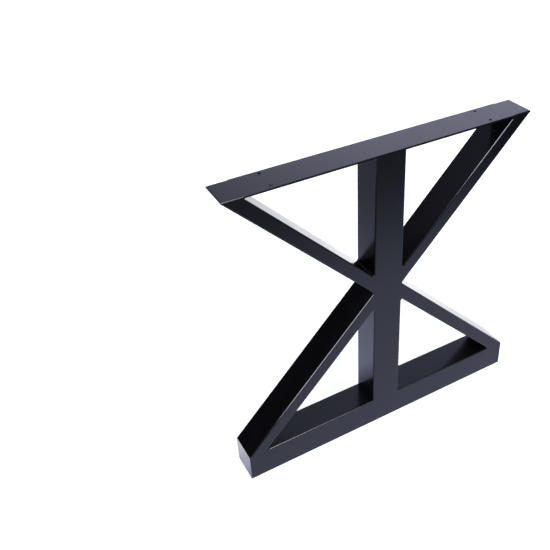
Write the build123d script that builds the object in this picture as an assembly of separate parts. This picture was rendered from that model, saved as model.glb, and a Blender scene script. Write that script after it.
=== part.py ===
"""Welded steel table leg: top plate, centre post, four slanting braces and a foot rail.

Millimetres, +Z up, the leg's width along X. The origin is on the floor under the middle of the leg.
"""
from build123d import *
import os
from math import copysign, hypot

# Overall sizes
leg_height = 720  # floor to the top of the plate
plate_length = 700
rail_length = 712

# Sections
plate_thickness = 4
plate_edge_radius = 0.8
plate_ground_radius = 3  # the plate's long edges over a brace, where the weld was ground round
tube_size = 70  # square tube of the post and the rail, and the depth of every piece
brace_width = 30  # narrow side of the brace tube
wall = 2
tube_edge_radius = 3
cap_thickness = 3

# Screw holes in the plate
screw_spacing_length = 500
screw_spacing_depth = 50
screw_hole_diameter = 7

# Weld beads in the inner corners, ground flush at the front and the back
notch_bead_leg = 3  # reach along each face in the notch between two braces
sharp_bead_leg = 7  # reach along each face from the sharp corner beside a brace
bead_crown = 0.4  # how far a bead bulges past the straight line between its legs

# Places worked out from the sizes
depth = tube_size
post_half = tube_size / 2
plate_underside = leg_height - plate_thickness
rail_top = tube_size
rail_end = rail_length / 2
plate_end = (plate_length / 2, plate_underside)  # outer tip of an upper brace, in X and Z
rail_corner = (rail_end, rail_top)  # outer tip of a lower brace
vertex_height = (plate_underside + rail_top) / 2  # the braces' outer edges meet here on the post
bore_edge_radius = max(tube_edge_radius - wall, wall / 4)
tolerance = 0.001


def brace_corners(side, tip):
    """Corners of a brace in X and Z: vertex on the post, outer tip, inner end, inner start on the post."""
    tip_x, tip_z = tip
    run = tip_x - post_half
    rise = tip_z - vertex_height
    length = hypot(run, rise)
    post_cut = copysign(brace_width * length / run, rise)
    end_cut = brace_width * length / abs(rise)
    corners = [
        (post_half, vertex_height),
        (tip_x, tip_z),
        (tip_x - end_cut, tip_z),
        (post_half, vertex_height + post_cut),
    ]
    return [(side * x, z) for x, z in corners]


def slab(corners):
    """Straight-sided solid of an X-Z outline, as deep as the tubes."""
    return extrude(Plane.XZ * Polygon(*corners), depth / 2, both=True)


def bar(x_half, z_low, z_high):
    """Square-edged block of the post or the rail."""
    return slab([(-x_half, z_low), (x_half, z_low), (x_half, z_high), (-x_half, z_high)])


def is_free_edge(edge):
    """True for the front and back edges that stay open once the plate and the rail's caps are on."""
    middle = edge.center()
    on_front_or_back = abs(abs(middle.Y) - depth / 2) < tolerance
    under_plate = middle.Z > plate_underside - tolerance
    at_rail_end = abs(middle.X) > rail_end - tolerance
    return on_front_or_back and not under_plate and not at_rail_end


def bead_slab(corner, first, second, leg):
    """Bead in the corner between two faces; first and second are X-Z points further along the faces."""
    corner = Vector(*corner)
    foot = corner + (Vector(*first) - corner).normalized() * leg
    head = corner + (Vector(*second) - corner).normalized() * leg
    middle = (foot + head) / 2
    crown = middle + (middle - corner).normalized() * bead_crown
    outline = Line(corner, foot) + ThreePointArc(foot, crown, head) + Line(head, corner)
    return extrude(Plane.XZ * make_face(outline), depth / 2, both=True)


def end_beads(tip):
    """Beads between the plate or the rail and the inside of each brace."""
    beads = []
    for side in (-1, 1):
        vertex, outer, inner_end, inner_start = brace_corners(side, tip)
        foot_of_post = (side * post_half, tip[1])
        beads.append(bead_slab(inner_end, foot_of_post, inner_start, sharp_bead_leg))
    return beads


def post_beads():
    """Beads on the post: inside each brace, and in the notch between an upper and a lower brace."""
    beads = []
    for side in (-1, 1):
        for tip in (plate_end, rail_corner):
            vertex, outer, inner_end, inner_start = brace_corners(side, tip)
            foot_of_post = (side * post_half, tip[1])
            beads.append(bead_slab(inner_start, foot_of_post, inner_end, sharp_bead_leg))
        upper_tip = (side * plate_end[0], plate_end[1])
        lower_tip = (side * rail_corner[0], rail_corner[1])
        beads.append(bead_slab(vertex, upper_tip, lower_tip, notch_bead_leg))
    return beads


def ground_frame():
    """All the tubes and beads as one body: the joints are ground flush, and the free edges are rounded."""
    body = bar(rail_end, 0, rail_top) + bar(post_half, rail_top, plate_underside)
    for side in (-1, 1):
        for tip in (plate_end, rail_corner):
            body += slab(brace_corners(side, tip))
    for bead in end_beads(plate_end) + end_beads(rail_corner) + post_beads():
        body += bead
    return fillet(body.edges().filter_by(is_free_edge), tube_edge_radius)


def bore(start, end, width):
    """Inside of a tube between two X-Z points; width is the tube's outer size across the X-Z plane."""
    axis = Vector(end[0] - start[0], 0, end[1] - start[1])
    across = Plane((start[0], 0, start[1]), x_dir=(0, 1, 0), z_dir=axis)
    profile = RectangleRounded(depth - 2 * wall, width - 2 * wall, bore_edge_radius)
    return extrude(across * profile, axis.length)


def ground_corner(side, face):
    """What grinding takes off the plate's long edge over one brace; face is -1 at the front, 1 at the back."""
    inner_end = brace_corners(side, plate_end)[2]
    edge = face * depth / 2
    inset = edge - face * plate_ground_radius
    below = leg_height - plate_ground_radius
    centre = (inset, below)
    reach = plate_ground_radius / 2**0.5
    on_arc = (centre[0] + face * reach, centre[1] + reach)
    corner = (edge, leg_height)
    outline = Line(corner, (edge, below)) + ThreePointArc((edge, below), on_arc, (inset, leg_height))
    outline += Line((inset, leg_height), corner)
    across = Plane((inner_end[0], 0, 0), x_dir=(0, 1, 0), z_dir=(1, 0, 0))
    return extrude(across * make_face(outline), side * brace_width * 2)


def top_plate():
    plate = Pos(0, 0, plate_underside + plate_thickness / 2) * Box(plate_length, depth, plate_thickness)
    plate = fillet(plate.edges().group_by(Axis.Z)[-1], plate_edge_radius)
    for side in (-1, 1):
        for face in (-1, 1):
            plate -= ground_corner(side, face)
    drill = Pos(0, 0, plate_underside) * Cylinder(screw_hole_diameter / 2, 3 * plate_thickness)
    for spot in GridLocations(screw_spacing_length, screw_spacing_depth, 2, 2):
        plate -= spot * drill
    return plate


def centre_post(frame):
    tube = frame & bar(post_half, rail_top, plate_underside)
    return tube - bore((0, rail_top), (0, plate_underside), tube_size)


def brace(frame, side, tip):
    """Brace cut flat against the post's side and against the plate or the rail."""
    corners = brace_corners(side, tip)
    vertex, outer, inner_end, inner_start = [Vector(*corner) for corner in corners]
    start = (vertex + inner_start) / 2
    end = (outer + inner_end) / 2
    overrun = (end - start).normalized() * tube_size
    start -= overrun
    end += overrun
    return (frame & slab(corners)) - bore((start.X, start.Y), (end.X, end.Y), brace_width)


def foot_rail(frame):
    tube = frame & bar(rail_end, 0, rail_top)
    return tube - bore((-rail_end, rail_top / 2), (rail_end, rail_top / 2), tube_size)


def rail_cap(side):
    """End plate that fills the rail's bore and lies flush with its end."""
    inner_face = rail_end - cap_thickness
    return bore((side * inner_face, rail_top / 2), (side * rail_end, rail_top / 2), tube_size)


def weld_beads(frame, slabs):
    """Beads as the ground frame leaves them."""
    return Compound(children=[(frame & bead).solid() for bead in slabs])


frame = ground_frame()
parts = {
    "top_plate": top_plate(),
    "centre_post": centre_post(frame),
    "upper_left_brace": brace(frame, -1, plate_end),
    "upper_right_brace": brace(frame, 1, plate_end),
    "lower_left_brace": brace(frame, -1, rail_corner),
    "lower_right_brace": brace(frame, 1, rail_corner),
    "foot_rail": foot_rail(frame),
    "left_rail_cap": rail_cap(-1),
    "right_rail_cap": rail_cap(1),
    "plate_weld_beads": weld_beads(frame, end_beads(plate_end)),
    "post_weld_beads": weld_beads(frame, post_beads()),
    "rail_weld_beads": weld_beads(frame, end_beads(rail_corner)),
}

os.makedirs("parts", exist_ok=True)
for name, piece in parts.items():
    piece.label = name
    export_step(piece, f"parts/{name}.step")
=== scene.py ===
"""Dresses the welded table leg: powder coat, rippled weld beads, paper floor, studio light and camera.

Metres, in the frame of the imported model: +Z up, the leg's width along X, its front face towards -Y.
"""
import math

import bpy
import numpy as np
from mathutils import Matrix, Vector


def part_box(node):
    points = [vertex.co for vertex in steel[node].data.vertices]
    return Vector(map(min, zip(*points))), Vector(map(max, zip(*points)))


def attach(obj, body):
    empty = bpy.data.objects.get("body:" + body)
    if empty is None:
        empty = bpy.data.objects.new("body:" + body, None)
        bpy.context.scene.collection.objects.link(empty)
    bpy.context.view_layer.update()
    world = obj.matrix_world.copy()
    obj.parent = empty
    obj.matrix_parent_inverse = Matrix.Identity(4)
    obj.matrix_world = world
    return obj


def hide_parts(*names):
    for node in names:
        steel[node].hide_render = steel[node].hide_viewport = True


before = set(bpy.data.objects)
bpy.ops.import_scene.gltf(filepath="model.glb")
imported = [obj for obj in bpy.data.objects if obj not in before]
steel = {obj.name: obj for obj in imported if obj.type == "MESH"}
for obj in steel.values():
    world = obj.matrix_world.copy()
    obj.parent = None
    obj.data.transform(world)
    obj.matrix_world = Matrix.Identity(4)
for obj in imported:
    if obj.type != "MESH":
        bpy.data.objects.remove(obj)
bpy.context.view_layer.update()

# A fade below has four numbers: where it starts and ends, then its level at the start and at the end

# Powder coat
coat_black = (0.0032, 0.0032, 0.0038, 1.0)
dust_grey = (0.03, 0.03, 0.034, 1.0)
coat_ior = 1.5
peel_size = 0.0024  # from bump to bump
peel_depth = 0.000012
grains_per_bump = 4.0
grain_share = 0.2
wave_share = 3.0
waves_per_metre = 24.0
smudges_per_metre = 17.0
smudge_edge = (0.46, 0.72, 0.0, 1.0)
smudge_dulling = 0.16
smudge_dust = 0.1
specks_per_metre = 520.0
speck_edge = (0.68, 0.78, 0.0, 1.0)

# Weld beads
brace_width = 0.03
half_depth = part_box("foot_rail")[1].y
edge_radius = 0.003
notch_bead_leg = 0.003
sharp_bead_leg = 0.0042
bead_crown = 0.0004
ripple_pitch = 0.0026
ripple_depth = 0.0003
ripple_sweep = 0.0022
ripple_fade = 0.004
bead_rows = 200
bead_end_rows = 9
bead_end_share = 0.98  # of a bead's rise, what its rounded ends take off
bead_columns = 10
bead_crease = 50  # degrees

# Paper floor: what the camera sees of it
floor_half = 6.0
paper_glow = 0.86
paper_grey = (0.6, 0.6, 0.6, 1.0)

# Paper floor: the light on it that the leg mirrors
paper_level = 0.95
cool_paper = (0.9, 0.98, 1.36, 1.0)
plain_paper = (0.99, 0.99, 1.07, 1.0)
wall_direction = (0.6, 0.8)
left_direction = (-0.8, 0.6)
back_direction = (-0.13, 1.0)
wall_side_x = (0.05, 0.4, 0.0, 1.0)
wall_side_y = (-0.06, 0.06, 0.0, 1.0)
wall_glow_near = (0.3, 0.8, 0.35, 0.82)
wall_glow_far = (0.9, 1.3, 1.0, 0.64)
front_dusk = (-1.12, -0.44, 0.26, 1.0)
left_dusk = (0.1, 1.0, 1.0, 0.3)
right_dusk = (-1.9, -1.0, 0.3, 1.0)
left_end_x = (-0.45, -0.28, 0.1, 1.0)
left_end_y = (-0.32, -0.12, 0.1, 1.0)
behind_far = (0.09, 0.155, 0.4, 1.0)
behind_near = (0.0, 0.06, 0.77, 0.0)
far_front_x = (0.4, 0.9, 0.35, 0.0)
far_front_y = (-2.2, -1.3, 1.0, 0.0)
patch_place = (-0.4, 0.09)
patch_edge = (0.03, 0.13, 1.0, 0.0)
patch_level = 1.25

# Studio round the leg: turns from +Y towards +X and heights above the floor in radians, the rest as shares
wall_left = (0.0, 0.65, 0.0, 1.25)
wall_right = (1.0, 1.3, 1.0, 0.0)
wall_top = (0.42, 0.74, 1.0, 0.2)
room_height = (0.38, 0.68, 0.025, 0.25)
dim_corner_left = (-0.5, -0.3, 1.0, 0.15)
dim_corner_right = (0.1, 0.35, 0.15, 1.0)
horizon_height = (0.12, 0.4, 1.0, 0.0)
horizon_sides = (0.2, 0.36, 0.6, 0.3)
open_front = (0.0, 0.35, 1.0, 0.0)
open_right = (-0.45, -0.2, 0.0, 1.0)
window_left = (0.1, 0.2, 0.0, 1.0)
window_right = (0.27, 0.36, 1.0, 0.0)
window_sill = (0.3, 0.5, 0.0, 1.0)
window_head = (1.15, 1.35, 1.0, 0.0)
window_front = (-0.2, -0.05, 1.0, 0.0)
window_level = 10.5
window_tint = (1.0, 1.0, 1.1, 1.0)
low_tint = (0.97, 0.96, 1.28, 1.0)
high_tint = (0.9, 0.98, 1.42, 1.0)
tint_height = (0.45, 0.7, 0.0, 1.0)
lamp_tint = (0.8, 0.88, 1.0)
white = (1.0, 1.0, 1.0, 1.0)

# Camera, solved from the straight edges in the photograph
image_size = 550
sensor_millimetres = 36.0
view_azimuth = -30.528
view_elevation = 34.039
view_roll = -0.872
view_distance = 1.509746
view_centre = (-0.085419, 0.0, 0.533995)
focal_pixels = 746.646
axis_pixel = (345.0, 238.0)


def new_object(name, data):
    """New object in the scene, at the origin."""
    made = bpy.data.objects.new(name, data)
    bpy.context.scene.collection.objects.link(made)
    return made


def coated(piece, material):
    """Puts one material on a piece."""
    piece.data.materials.clear()
    piece.data.materials.append(material)


def plug(tree, value, socket):
    """Joins an output to an input, or sets the input to a plain value."""
    if isinstance(value, bpy.types.NodeSocket):
        tree.links.new(value, socket)
    else:
        socket.default_value = value


def add(tree, kind, settings=None, **sockets):
    """New node; settings go on the node itself and sockets on its inputs, where a space is written as _."""
    made = tree.nodes.new(kind)
    for name, value in (settings or {}).items():
        setattr(made, name, value)
    for name, value in sockets.items():
        plug(tree, value, made.inputs[name.replace("_", " ")])
    return made


def maths(tree, operation, first, second=None):
    """One Math node."""
    made = add(tree, "ShaderNodeMath", {"operation": operation})
    plug(tree, first, made.inputs[0])
    if second is not None:
        plug(tree, second, made.inputs[1])
    return made.outputs[0]


def product(tree, first, *others):
    """Product of two or more numbers."""
    for other in others:
        first = maths(tree, "MULTIPLY", first, other)
    return first


def total(tree, first, *others):
    """Sum of two or more numbers."""
    for other in others:
        first = maths(tree, "ADD", first, other)
    return first


def larger(tree, first, second):
    """Larger of two numbers."""
    return maths(tree, "MAXIMUM", first, second)


def fade(tree, value, span):
    """Smooth step of a value from one level to another."""
    made = add(tree, "ShaderNodeMapRange", {"interpolation_type": "SMOOTHSTEP"}, Value=value)
    for name, number in zip(("From Min", "From Max", "To Min", "To Max"), span):
        made.inputs[name].default_value = number
    return made.outputs["Result"]


def blend(tree, share, first, second):
    """Mix of two colours, by the share of the second."""
    made = add(tree, "ShaderNodeMix", {"data_type": "RGBA"})
    factor, first_colour, second_colour = made.inputs[0], made.inputs[6], made.inputs[7]
    plug(tree, share, factor)
    plug(tree, first, first_colour)
    plug(tree, second, second_colour)
    return made.outputs[2]


def along(tree, x, y, direction):
    """How far a place on the floor lies in a direction."""
    return total(tree, product(tree, x, direction[0]), product(tree, y, direction[1]))


def away(tree, x, y, place):
    """Distance on the floor from a place."""
    across = maths(tree, "POWER", maths(tree, "SUBTRACT", x, place[0]), 2.0)
    back = maths(tree, "POWER", maths(tree, "SUBTRACT", y, place[1]), 2.0)
    return maths(tree, "SQRT", total(tree, across, back))


def seen_or_mirrored(tree, seen, mirrored, output_kind):
    """Shows one shader to the camera and another to everything else."""
    ray = tree.nodes.new("ShaderNodeLightPath")
    choice = tree.nodes.new("ShaderNodeMixShader")
    plug(tree, ray.outputs["Is Camera Ray"], choice.inputs[0])
    plug(tree, mirrored.outputs[0], choice.inputs[1])
    plug(tree, seen.outputs[0], choice.inputs[2])
    add(tree, output_kind, Surface=choice.outputs[0])


def new_group(name, inputs, outputs):
    """Empty shader node group with number sockets."""
    group = bpy.data.node_groups.new(name, "ShaderNodeTree")
    for label, value in inputs.items():
        socket = group.interface.new_socket(label, in_out="INPUT", socket_type="NodeSocketFloat")
        socket.default_value = value
    for label in outputs:
        group.interface.new_socket(label, in_out="OUTPUT", socket_type="NodeSocketFloat")
    return group, group.nodes.new("NodeGroupInput"), group.nodes.new("NodeGroupOutput")


def orange_peel_group():
    """Height of cured powder: rounded bumps, a finer grain, and the slow waves of the tube under them."""
    group, given, result = new_group(
        "orange_peel", {"Bump Size": peel_size, "Grain": grain_share, "Waves": wave_share}, ["Height"]
    )
    place = group.nodes.new("ShaderNodeTexCoord").outputs["Object"]
    bumps_per_metre = maths(group, "DIVIDE", 1.0, given.outputs["Bump Size"])
    grains_per_metre = product(group, bumps_per_metre, grains_per_bump)
    bumps = add(group, "ShaderNodeTexNoise", Vector=place, Scale=bumps_per_metre, Detail=1.0, Roughness=0.4)
    grain = add(group, "ShaderNodeTexNoise", Vector=place, Scale=grains_per_metre, Detail=0.0)
    waves = add(group, "ShaderNodeTexNoise", Vector=place, Scale=waves_per_metre, Detail=0.0)
    fine = product(group, grain.outputs["Fac"], given.outputs["Grain"])
    slow = product(group, waves.outputs["Fac"], given.outputs["Waves"])
    plug(group, total(group, bumps.outputs["Fac"], fine, slow), result.inputs["Height"])
    return group


def handling_marks_group():
    """Masks of what handling leaves: soft smudges a few centimetres across, and sparse specks of dust."""
    group, given, result = new_group(
        "handling_marks", {"Smudge Amount": 0.5, "Speck Amount": 0.5}, ["Smudges", "Specks"]
    )
    place = group.nodes.new("ShaderNodeTexCoord").outputs["Object"]
    cloud = add(
        group,
        "ShaderNodeTexNoise",
        Vector=place,
        Scale=smudges_per_metre,
        Detail=4.0,
        Roughness=0.62,
        Distortion=0.6,
    )
    dots = add(group, "ShaderNodeTexNoise", Vector=place, Scale=specks_per_metre, Detail=1.0)
    smudges = fade(group, cloud.outputs["Fac"], smudge_edge)
    specks = fade(group, dots.outputs["Fac"], speck_edge)
    plug(group, product(group, smudges, given.outputs["Smudge Amount"]), result.inputs["Smudges"])
    plug(group, product(group, specks, given.outputs["Speck Amount"]), result.inputs["Specks"])
    return group


orange_peel = orange_peel_group()
handling_marks = handling_marks_group()


def powder_coat(name, smudges, specks, roughness, peel=peel_size, waves=wave_share):
    """Cured black powder: near-black colour with a little dust, uneven gloss and an orange-peel surface."""
    material = bpy.data.materials.new(name)
    material.use_nodes = True
    tree = material.node_tree
    shader = tree.nodes["Principled BSDF"]
    shader.inputs["IOR"].default_value = coat_ior

    marks = add(tree, "ShaderNodeGroup", {"node_tree": handling_marks})
    marks.inputs["Smudge Amount"].default_value = smudges
    marks.inputs["Speck Amount"].default_value = specks
    dust = total(tree, product(tree, marks.outputs["Smudges"], smudge_dust), marks.outputs["Specks"])
    plug(tree, blend(tree, dust, coat_black, dust_grey), shader.inputs["Base Color"])
    dulling = product(tree, marks.outputs["Smudges"], smudge_dulling)
    plug(tree, total(tree, dulling, roughness), shader.inputs["Roughness"])

    surface = add(tree, "ShaderNodeGroup", {"node_tree": orange_peel})
    surface.inputs["Bump Size"].default_value = peel
    surface.inputs["Waves"].default_value = waves
    bump = add(tree, "ShaderNodeBump", Height=surface.outputs["Height"], Strength=1.0, Distance=peel_depth)
    plug(tree, bump.outputs["Normal"], shader.inputs["Normal"])
    return material


brace_coat = powder_coat("brace_coat", smudges=0.25, specks=0.05, roughness=0.15)
square_tube_coat = powder_coat("square_tube_coat", smudges=0.25, specks=0.05, roughness=0.2)
plate_coat = powder_coat("plate_coat", smudges=0.5, specks=0.08, roughness=0.15)
cap_coat = powder_coat("cap_coat", smudges=0.2, specks=0.1, roughness=0.17)
bead_coat = powder_coat("bead_coat", smudges=0.2, specks=0.1, roughness=0.2, peel=0.0016, waves=0.0)

for name, piece in steel.items():
    if name == "top_plate":
        coated(piece, plate_coat)
    elif name in ("foot_rail", "centre_post"):
        coated(piece, square_tube_coat)
    elif name.endswith("cap"):
        coated(piece, cap_coat)
    else:
        coated(piece, brace_coat)


def brace_corners(name, side):
    """X-Z corners of a brace, from its box: vertex on the post, outer tip, inner end, inner start."""
    low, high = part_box(name)
    post = min(abs(low.x), abs(high.x))
    tip = max(abs(low.x), abs(high.x))
    vertex_z, tip_z = (low.z, high.z) if name.startswith("upper") else (high.z, low.z)
    run = tip - post
    rise = tip_z - vertex_z
    length = math.hypot(run, rise)
    inner_end = tip - brace_width * length / abs(rise)
    inner_start = vertex_z + math.copysign(brace_width * length / run, rise)
    corners = np.array([(post, vertex_z), (tip, tip_z), (inner_end, tip_z), (post, inner_start)])
    return corners * (side, 1)


def rippled_bead(corner, first, second, leg):
    """Weld bead as a profile carried along Y: one closed loop of points per row, foot to head to corner.

    A profile point goes straight from the foot on the first face to the head on the second, plus a bulge of
    crown times a parabola. The bulge is deepened by a ripple, a cosine along Y whose crests lag behind by
    the same parabola and fade out towards the ends. The end rows follow a quarter circle of the frame's edge
    radius: as Y goes out by its sine, the profile shrinks towards the corner by its versed sine.
    """
    corner = np.asarray(corner, float)
    along_first = (first - corner) / np.linalg.norm(first - corner)
    along_second = (second - corner) / np.linalg.norm(second - corner)
    outward = along_first + along_second
    outward /= np.linalg.norm(outward)
    rise = leg * (outward @ along_first)
    straight = half_depth - edge_radius
    last_angle = math.acos(max(0.0, 1 - bead_end_share * rise / edge_radius))
    angle = np.linspace(0, last_angle, bead_end_rows)[1:]
    ahead = straight + edge_radius * np.sin(angle)
    lost = edge_radius * (1 - np.cos(angle))
    y = np.concatenate([-ahead[::-1], np.linspace(-straight, straight, bead_rows), ahead])[:, None]
    inset = np.concatenate([lost[::-1], np.zeros(bead_rows), lost])[:, None]
    part = np.linspace(0, 1, bead_columns)[None, :]
    arch = 4 * part * (1 - part)
    swell = np.clip((straight - np.abs(y)) / ripple_fade, 0, 1)
    ripple = -0.5 * ripple_depth * swell * np.cos(2 * np.pi * (y + ripple_sweep * arch) / ripple_pitch)
    bulge = arch * (bead_crown + ripple)
    shrink = 1 - inset / rise
    reach = leg * ((1 - part)[..., None] * along_first + part[..., None] * along_second)
    profile = corner + shrink[..., None] * (reach + bulge[..., None] * outward)
    loop = np.concatenate([profile, np.broadcast_to(corner, (len(y), 1, 2))], axis=1)
    points = np.stack([loop[..., 0], np.broadcast_to(y, loop.shape[:2]), loop[..., 1]], axis=-1)
    turns_left = along_first[0] * along_second[1] - along_first[1] * along_second[0] > 0
    return points if turns_left else points[:, ::-1]


def bead_mesh(name, beads):
    """Closed mesh of several beads: quads between neighbouring rows, and one face over each end."""
    rows, around = beads[0].shape[:2]
    row, column = np.meshgrid(np.arange(rows - 1), np.arange(around), indexing="ij")
    here = row * around + column
    beside = row * around + (column + 1) % around
    quads = np.stack([here, beside, beside + around, here + around], axis=-1).reshape(-1, 4)
    faces = []
    for number in range(len(beads)):
        start = number * rows * around
        faces += (quads + start).tolist()
        faces.append((start + np.arange(around)[::-1]).tolist())
        faces.append((start + (rows - 1) * around + np.arange(around)).tolist())
    mesh = bpy.data.meshes.new(name)
    mesh.from_pydata(np.concatenate(beads).reshape(-1, 3).tolist(), [], faces)
    mesh.polygons.foreach_set("use_smooth", np.ones(len(mesh.polygons), bool))
    mesh.set_sharp_from_angle(angle=math.radians(bead_crease))
    return mesh


def bead_piece(name, node, beads):
    """Rippled beads in the place of a node of plain ones."""
    piece = new_object(name, bead_mesh(name, beads))
    coated(piece, bead_coat)
    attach(piece, "root")
    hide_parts(node)


def end_beads(level):
    """Beads between the plate or the rail and the inside of each brace."""
    beads = []
    for side, hand in ((-1, "left"), (1, "right")):
        vertex, outer, inner_end, inner_start = brace_corners(f"{level}_{hand}_brace", side)
        foot_of_post = np.array([vertex[0], outer[1]])
        beads.append(rippled_bead(inner_end, foot_of_post, inner_start, sharp_bead_leg))
    return beads


def post_beads():
    """Beads on the post: inside each brace, and in the notch between an upper and a lower brace."""
    beads = []
    for side, hand in ((-1, "left"), (1, "right")):
        tips = []
        for level in ("upper", "lower"):
            vertex, outer, inner_end, inner_start = brace_corners(f"{level}_{hand}_brace", side)
            foot_of_post = np.array([vertex[0], outer[1]])
            beads.append(rippled_bead(inner_start, foot_of_post, inner_end, sharp_bead_leg))
            tips.append(outer)
        beads.append(rippled_bead(vertex, tips[0], tips[1], notch_bead_leg))
    return beads


bead_piece("rippled_plate_beads", "plate_weld_beads", end_beads("upper"))
bead_piece("rippled_rail_beads", "rail_weld_beads", end_beads("lower"))
bead_piece("rippled_post_beads", "post_weld_beads", post_beads())


def floor_light(tree, x, y):
    """Level and colour of the light on the paper floor that the leg mirrors.

    The paper glows by the light wall at the back on the right, and dims towards the front, the left and the
    right, beside the leg's left end and in a strip close behind it. A patch by the rail's left end is
    bright, and so is the paper far in front of the leg.
    """
    to_wall = along(tree, x, y, wall_direction)
    to_left = along(tree, x, y, left_direction)
    to_back = along(tree, x, y, back_direction)
    by_wall = product(tree, fade(tree, x, wall_side_x), fade(tree, y, wall_side_y))
    wall_glow = product(
        tree, fade(tree, to_wall, wall_glow_near), fade(tree, to_wall, wall_glow_far), by_wall
    )
    side_dusk = product(tree, fade(tree, to_left, left_dusk), fade(tree, to_left, right_dusk))
    dusk = product(tree, fade(tree, to_back, front_dusk), side_dusk)
    beside = larger(tree, fade(tree, x, left_end_x), fade(tree, y, left_end_y))
    behind = larger(tree, fade(tree, y, behind_far), fade(tree, y, behind_near))
    lit = product(tree, total(tree, wall_glow, paper_level), dusk, beside, larger(tree, behind, by_wall))
    far_front = product(
        tree, fade(tree, maths(tree, "ABSOLUTE", x), far_front_x), fade(tree, y, far_front_y)
    )
    patch = fade(tree, away(tree, x, y, patch_place), patch_edge)
    level = total(tree, lit, far_front, product(tree, patch, patch_level))
    return level, blend(tree, larger(tree, by_wall, patch), cool_paper, plain_paper)


def paper_floor():
    """White paper under the leg; the camera sees it white, with the leg's shadow."""
    corners = [(-floor_half, -floor_half, 0), (floor_half, -floor_half, 0)]
    corners += [(floor_half, floor_half, 0), (-floor_half, floor_half, 0)]
    mesh = bpy.data.meshes.new("paper_floor")
    mesh.from_pydata(corners, [], [(0, 1, 2, 3)])
    floor = new_object("paper_floor", mesh)

    material = bpy.data.materials.new("white_paper")
    material.use_nodes = True
    tree = material.node_tree
    tree.nodes.clear()
    place = tree.nodes.new("ShaderNodeTexCoord").outputs["Object"]
    axes = add(tree, "ShaderNodeSeparateXYZ", Vector=place)
    level, tint = floor_light(tree, axes.outputs["X"], axes.outputs["Y"])
    mirrored = add(tree, "ShaderNodeEmission", Color=tint, Strength=level)
    glow = add(tree, "ShaderNodeEmission", Color=white, Strength=paper_glow)
    matt = add(tree, "ShaderNodeBsdfDiffuse", Color=paper_grey)
    seen = tree.nodes.new("ShaderNodeAddShader")
    plug(tree, glow.outputs[0], seen.inputs[0])
    plug(tree, matt.outputs[0], seen.inputs[1])
    seen_or_mirrored(tree, seen, mirrored, "ShaderNodeOutputMaterial")
    coated(floor, material)


def studio_light(tree, direction):
    """Level and colour of the studio that the leg mirrors, by the direction in which it lies.

    There is a light wall at the back on the right, a dim room that is lighter overhead and darkest at the
    back, a pale band over the horizon at the front and the right, and a tall bright window in front.
    """
    axes = add(tree, "ShaderNodeSeparateXYZ", Vector=direction)
    x, y = axes.outputs["X"], axes.outputs["Y"]
    turn = maths(tree, "ARCTAN2", x, y)
    height = maths(tree, "ARCSINE", axes.outputs["Z"])
    wall = product(
        tree, fade(tree, turn, wall_left), fade(tree, turn, wall_right), fade(tree, height, wall_top)
    )
    dim_corner = larger(tree, fade(tree, turn, dim_corner_left), fade(tree, turn, dim_corner_right))
    room = product(tree, fade(tree, height, room_height), dim_corner)
    open_side = larger(tree, fade(tree, y, open_front), fade(tree, turn, open_right))
    sides = fade(tree, maths(tree, "ABSOLUTE", x), horizon_sides)
    horizon = product(tree, fade(tree, height, horizon_height), sides, open_side)
    window_width = product(tree, fade(tree, x, window_left), fade(tree, x, window_right))
    window_rise = product(tree, fade(tree, height, window_sill), fade(tree, height, window_head))
    window = product(tree, window_width, window_rise, fade(tree, y, window_front))
    level = total(tree, wall, room, horizon, product(tree, window, window_level))
    air = blend(tree, fade(tree, height, tint_height), low_tint, high_tint)
    return level, blend(tree, window, air, window_tint)


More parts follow.
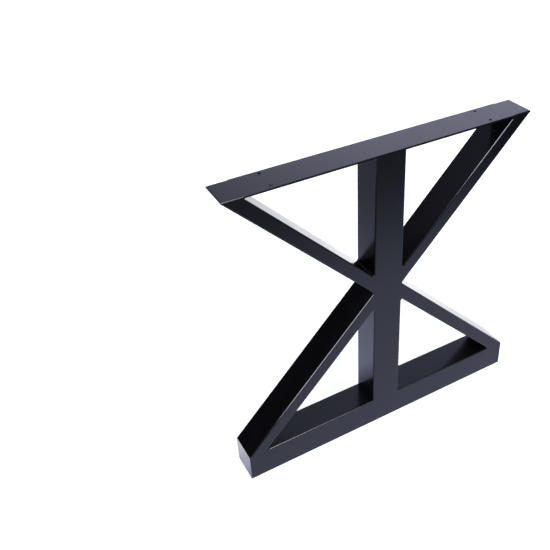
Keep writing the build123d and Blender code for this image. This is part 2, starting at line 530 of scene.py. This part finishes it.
def studio_world():
    """White to the camera, and the studio to the leg."""
    world = bpy.data.worlds.new("studio")
    bpy.context.scene.world = world
    world.use_nodes = True
    tree = world.node_tree
    tree.nodes.clear()
    direction = tree.nodes.new("ShaderNodeTexCoord").outputs["Generated"]
    level, tint = studio_light(tree, direction)
    mirrored = add(tree, "ShaderNodeBackground", Color=tint, Strength=level)
    seen = add(tree, "ShaderNodeBackground", Color=white, Strength=1.0)
    seen_or_mirrored(tree, seen, mirrored, "ShaderNodeOutputWorld")


def softbox(name, place, target, width, height, watts):
    """Rectangular lamp that faces a point and shows only as a reflection in the coat."""
    lamp = bpy.data.lights.new(name, "AREA")
    lamp.shape = "RECTANGLE"
    lamp.size = width
    lamp.size_y = height
    lamp.energy = watts
    lamp.color = lamp_tint
    box = new_object(name, lamp)
    box.location = place
    box.rotation_euler = (Vector(target) - Vector(place)).to_track_quat("-Z", "Y").to_euler()
    box.visible_camera = False
    box.visible_diffuse = False


def photo_camera():
    """Camera at the photograph's angle: it circles the view centre, rolls, and shifts the frame sideways."""
    turn = math.radians(view_azimuth)
    tilt = math.radians(view_elevation)
    back = Vector((math.sin(turn) * math.cos(tilt), -math.cos(turn) * math.cos(tilt), math.sin(tilt)))
    right = (-back).cross(Vector((0, 0, 1))).normalized()
    up = right.cross(-back)
    roll = math.radians(view_roll)
    rolled_right = right * math.cos(roll) + up * math.sin(roll)
    rolled_up = up * math.cos(roll) - right * math.sin(roll)
    lens = bpy.data.cameras.new("photo_camera")
    lens.sensor_width = sensor_millimetres
    lens.lens = focal_pixels / image_size * lens.sensor_width
    lens.shift_x = 0.5 - axis_pixel[0] / image_size
    lens.shift_y = axis_pixel[1] / image_size - 0.5
    camera = new_object("photo_camera", lens)
    axes = Matrix((rolled_right, rolled_up, back)).transposed().to_4x4()
    camera.matrix_world = Matrix.Translation(Vector(view_centre) + back * view_distance) @ axes
    bpy.context.scene.camera = camera


paper_floor()
studio_world()
softbox(
    "low_left_softbox",
    place=(-0.6, -0.33, 0.535),
    target=(-0.175, -0.33, 0.11),
    width=0.69,
    height=0.45,
    watts=12,
)
softbox(
    "high_left_softbox",
    place=(-1.2, -1.05, 2.75),
    target=(0.1, -1.05, 0.6),
    width=2.3,
    height=0.8,
    watts=125,
)
photo_camera()
bpy.context.scene.view_settings.view_transform = "Standard"
